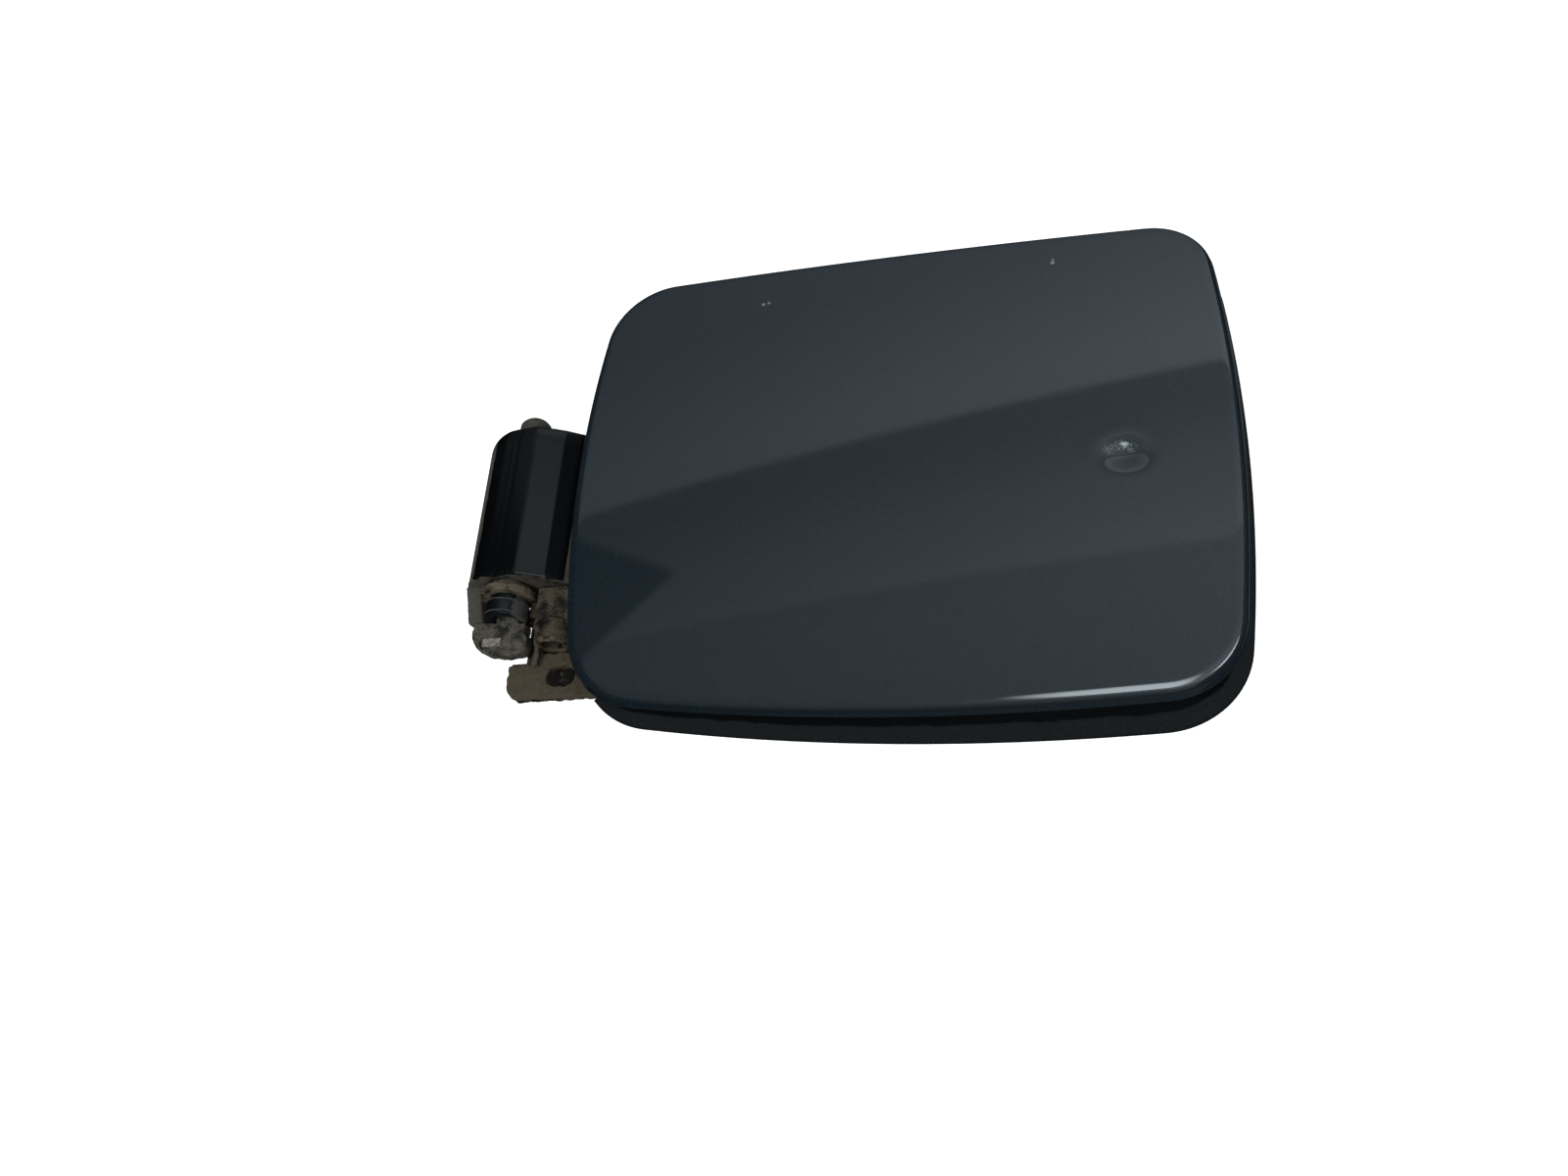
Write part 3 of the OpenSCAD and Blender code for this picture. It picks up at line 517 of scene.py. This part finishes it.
def arm_shape(p):
    """Rounds the arm's far corner, gives the cover its worn profile and rolls its near edge out."""
    x, y, z = p
    reach = math.hypot(x, z)
    t = min(1.0, max(0.0, (y + 7.8) / 5))
    pull = (1 - math.sqrt(max(0.0, 1 - t * t))) * blend(6.2, 8.6, reach)
    x += 3.4 * pull * blend(8, -8, x)
    z -= 0.4 * pull * blend(-2, 8, p.z)
    if p.x > COVER[0][0]:
        if p.x < SLOPE_X:
            base = BARREL_Z + math.sqrt(BARREL_R**2 - (p.x - BARREL_X) ** 2)
        else:
            base = SLOPE_Z - SLOPE * (p.x - SLOPE_X)
        share = blend(-6, -1.8, p.z - base) * blend(19.6, 18.6, p.x)
        z += (along_line(COVER, p.x) - base) * share
    out = Vector((p.x - BARREL_X, 0, p.z - BARREL_Z))
    lip = blend(-48.6, -49.6, p.y) * blend(9.6, 10.3, out.length) * blend(-51, -49.9, p.y)
    return Vector((x, y, z)) + out.normalized() * 0.2 * lip


# the key's reach against the solid's, by angle around its middle
KEY_SIDE = [(-190, 1.24), (-173, 1.22), (-156, 1.16), (-138, 1.04), (-115, 0.9), (-88, 0.88), (-63, 0.96),
            (-47, 1.08), (-35, 1.04), (-26, 0.96), (-6, 0.72), (24, 0.74), (170, 1.0)]
KEY_MIDDLE, KEY_START, KEY_TOP = -62.2, -59.3, 2.75


def key_shape(p):
    """Gives the round head its broken outline."""
    x, y = p.x, p.y - KEY_MIDDLE
    if p.y > KEY_START:
        return p
    angle = math.degrees(math.atan2(y, x))
    if angle > 150:
        angle -= 360
    out = math.hypot(x, y)
    grow = 1 + (along_line(KEY_SIDE, angle) - 1) * blend(3, 7, out)
    return Vector((x * grow, min(y * grow, KEY_TOP) + KEY_MIDDLE, p.z))


TUBE_MOUTH = (15.4, -67.0, -0.8)
# filler blocks at the bracket's root, each between two corners, put where there is only deep shade
SHADE_FILL_BLOCKS = [((5.3, -57.5, -6.5), (11.2, -50.0, -3.0)),
         ((5.65, -70.9, -6.5), (9.0, -58.0, -4.8)), ((1.6, -73.0, -6.5), (9.8, -70.65, -4.2))]


def dirt_rim_and_shade_fill(bracket):
    """A dirt rim on the socket tube's mouth, and filler blocks at the bracket's root that stand in for the
    deep shade there.
    """
    bpy.ops.mesh.primitive_torus_add(major_radius=4.45 * MM, minor_radius=0.75 * MM,
                                     major_segments=48, minor_segments=12,
                                     location=Vector(TUBE_MOUTH) * MM, rotation=(math.pi / 2, 0, 0))
    rim = bpy.context.object
    rim.data.transform(rim.matrix_world)
    rim.matrix_world = Matrix()
    for v in rim.data.vertices:
        v.co += v.normal * lump(v.co, 500, 0.25 * MM)
    rim.data.materials.append(BEARING)
    rim.data.shade_smooth()
    rim.parent = bracket
    # filler blocks standing in for the shade at the bracket's root
    for low, high in SHADE_FILL_BLOCKS:
        rounded_box("bracket_shade_fill", low, high, 0.2, BRACKET).parent = bracket


def hinge():
    worn("hinge_arm", 0.42, ARM, 3, arm_shape)
    dirt_rim_and_shade_fill(worn("arm_bracket", 0.3, BRACKET, 3, None, 0.4, 380))
    worn("near_bearing", 0.16, BEARING, 3, None, 0.16, 600)
    worn("pivot_bush", 0.16, BUSH, 2, None, 0.03, 700)
    worn("locking_key", 0.16, KEY, 3, key_shape, 0.3, 420)
    worn("key_tab", 0.12, TAB, 2)
    worn("pivot_shaft", 0.22, SHAFT, 2, None, 0.03, 700)
    worn("latch_striker", 0.25, FITTING)
    worn("cap_holder", 0.3, FITTING)
    worn("buffer_upper", 0.25, RUBBER)
    worn("buffer_lower", 0.25, RUBBER)


skin()
carrier()
hinge()

# camera at the photograph's place, floor and light

FOCAL, PHOTO_WIDTH, SENSOR = 1150, 1600, 36
GAMMA = Matrix.Rotation(CANT, 3, "Z")
TURN = (Matrix.Rotation(-0.0367789746, 3, "Z") @ Matrix.Rotation(0.2968456702, 3, "Y")
        @ Matrix.Rotation(2.7148858658, 3, "X"))
SHIFT = Vector((23.9921, -34.5418, 283.7514))
eye = to_frame(-(TURN.transposed() @ SHIFT))
right, down, ahead = (GAMMA @ TURN.transposed().col[i] for i in range(3))
camera_data = bpy.data.cameras.new("camera")
camera_data.lens = FOCAL / PHOTO_WIDTH * SENSOR
camera_data.clip_start = 0.01
camera = bpy.data.objects.new("camera", camera_data)
camera.matrix_world = Matrix.Translation(eye) @ Matrix((right, -down, -ahead)).transposed().to_4x4()
bpy.context.scene.collection.objects.link(camera)
bpy.context.scene.camera = camera

FLOOR_Z = cad_box[0][2]


def card(name, centre, size, strength, aim):
    """Soft light panel at a place, turned to its aim and hidden from reflections."""
    light = bpy.data.lights.new(name, "AREA")
    light.shape = "RECTANGLE"
    light.size, light.size_y = size
    light.energy = strength
    obj = bpy.data.objects.new(name, light)
    obj.location = centre
    obj.rotation_euler = (Vector(aim) - Vector(centre)).to_track_quat("-Z", "Y").to_euler()
    obj.visible_glossy = False
    bpy.context.scene.collection.objects.link(obj)


def grey_ramp(nodes, links, angle, stops):
    """Brightness by angle in degrees, through the stops."""
    n = nodes.new("ShaderNodeValToRGB")
    links.new(ramp(nodes, links, angle, 0, math.pi), n.inputs[0])
    while len(n.color_ramp.elements) < len(stops):
        n.color_ramp.elements.new(0.5)
    for element, (degrees, value) in zip(n.color_ramp.elements, stops):
        element.position = degrees / 180
        element.color = (value, value, value, 1)
    return n.outputs[0]


# brightness by lean angle in front of the first edge, between the edges, and past the second
FIRST = [(0, 0.05), (18, 0.2), (40, 0.5), (44, 0.55), (46, 0.56), (48, 0.64), (50, 0.72), (52, 0.81),
         (54, 0.9), (56, 0.92)]
SECOND = [(55, 0.41), (58, 0.42), (60, 0.5), (62, 0.6), (64, 0.66), (66, 0.74), (67, 0.78), (180, 0.2)]
THIRD = [(60, 0.5), (66.8, 0.56), (69, 0.58), (72, 0.55), (75, 0.5), (90, 0.48), (120, 0.4), (160, 0.25),
         (180, 0.02)]
TINT = (0.96, 1.06, 1.13)
# level direction that each edge's lean is measured in, and the angles over which it changes
EDGE_1, LEAN_1 = (-0.1698, 0.9855, 0), (55.8, 56.25)
EDGE_2, LEAN_2 = (-0.1092, 0.994, 0), (66.6, 67.05)
# brightness across the room: between which places it changes, its factors there, and whether softly
ACROSS = [(-0.6, 0.4, 0.43, 1.63, False), (-0.565, -0.535, 0.2, 1, True), (0.5, 0.56, 1, 0.12, True)]
# light from below that only reflections show
BELOW = (-0.8, -0.9, 0, 0.25)
# dark wedge between two planes, and its darkness
WEDGE, WEDGE_DARK = ((-0.4342, -0.8773, 0.2043), (-0.5819, 0.5993, -0.5497)), 0.72
# bright patches that only reflections show: direction, inner and outer angle, strength
PATCHES = [((0.06, 0.09, 0.993), 0.05, 0.15, 8), ((0.5, 0.0, 0.866), 0.08, 0.2, 12),
           ((0.3, -0.15, 0.94), 0.1, 0.5, 1)]


def room():
    """Soft studio boxes that stand behind and above the panel, as its gloss shows them."""
    world = bpy.data.worlds.new("room")
    bpy.context.scene.world = world
    world.use_nodes = True
    nodes, links = world.node_tree.nodes, world.node_tree.links
    way = nodes.new("ShaderNodeTexCoord").outputs["Generated"]

    def along(v):
        n = nodes.new("ShaderNodeVectorMath")
        n.operation = "DOT_PRODUCT"
        links.new(way, n.inputs[0])
        n.inputs[1].default_value = Vector(v).normalized()
        return n.outputs["Value"]

    def times(a, b):
        return calc(nodes, links, "MULTIPLY", a, b)

    height, across = along((0, 0, 1)), along((1, 0, 0))
    lean_1 = calc(nodes, links, "ARCTAN2", height, along(EDGE_1))
    lean_2 = calc(nodes, links, "ARCTAN2", height, along(EDGE_2))
    first, second = (grey_ramp(nodes, links, lean_1, stops) for stops in (FIRST, SECOND))
    third = grey_ramp(nodes, links, lean_2, THIRD)
    past_1 = ramp(nodes, links, lean_1, *(math.radians(a) for a in LEAN_1))
    past_2 = ramp(nodes, links, lean_2, *(math.radians(a) for a in LEAN_2))
    light = mix(nodes, links, past_2, mix(nodes, links, past_1, first, second), third)
    for change in ACROSS:
        light = times(light, ramp(nodes, links, across, *change))
    upper, lower = (ramp(nodes, links, along(normal), 0, 0.008) for normal in WEDGE)
    light = times(light, calc(nodes, links, "SUBTRACT", 1, times(times(upper, lower), WEDGE_DARK)))
    ray = nodes.new("ShaderNodeLightPath")
    shine = 0
    for direction, inner, outer, strength in PATCHES:
        spot = ramp(nodes, links, along(direction), math.cos(outer), math.cos(inner), 0, strength, True)
        shine = calc(nodes, links, "ADD", spot, shine)
    below = ramp(nodes, links, height, *BELOW, True)
    shine = times(calc(nodes, links, "ADD", shine, below), ray.outputs["Is Glossy Ray"])
    light = calc(nodes, links, "ADD", light, shine)
    tint = nodes.new("ShaderNodeVectorMath")
    tint.operation = "SCALE"
    tint.inputs[0].default_value = TINT
    links.new(light, tint.inputs["Scale"])
    links.new(mix(nodes, links, ray.outputs["Is Camera Ray"], tint.outputs[0], (1.0, 1.0, 1.0)),
              nodes["Background"].inputs[0])


def stage():
    floor_mat, nodes, links, bsdf = new_material("pale_floor")
    co = nodes.new("ShaderNodeTexCoord").outputs["Object"]
    pale = mix(nodes, links, noise_node(nodes, links, 3, 3, 0.5, co), (0.88, 0.88, 0.88), (0.9, 0.9, 0.9))
    links.new(pale, bsdf.inputs["Base Color"])
    bsdf.inputs["Roughness"].default_value = 0.95
    bsdf.inputs["Specular IOR Level"].default_value = 0.0
    bsdf.inputs["Emission Color"].default_value = (1, 1, 1, 1)
    camera_ray = nodes.new("ShaderNodeLightPath").outputs["Is Camera Ray"]
    links.new(calc(nodes, links, "MULTIPLY", camera_ray, 0.7), bsdf.inputs["Emission Strength"])
    z = FLOOR_Z
    verts = [(-4, -4, z), (4, -4, z), (4, 4, z), (-4, 4, z)]
    floor = mesh_object("floor", verts, [(0, 1, 2, 3)], floor_mat, False)
    floor.visible_glossy = False
    centre = (0.1, -0.03, 0)
    card("key", (-0.5, -1.2, 1.9), (1.6, 1.2), 30, centre)
    card("side", (1.7, -0.6, 1.2), (1.0, 1.0), 8, centre)


room()
stage()
bpy.context.scene.view_settings.view_transform = "Standard"
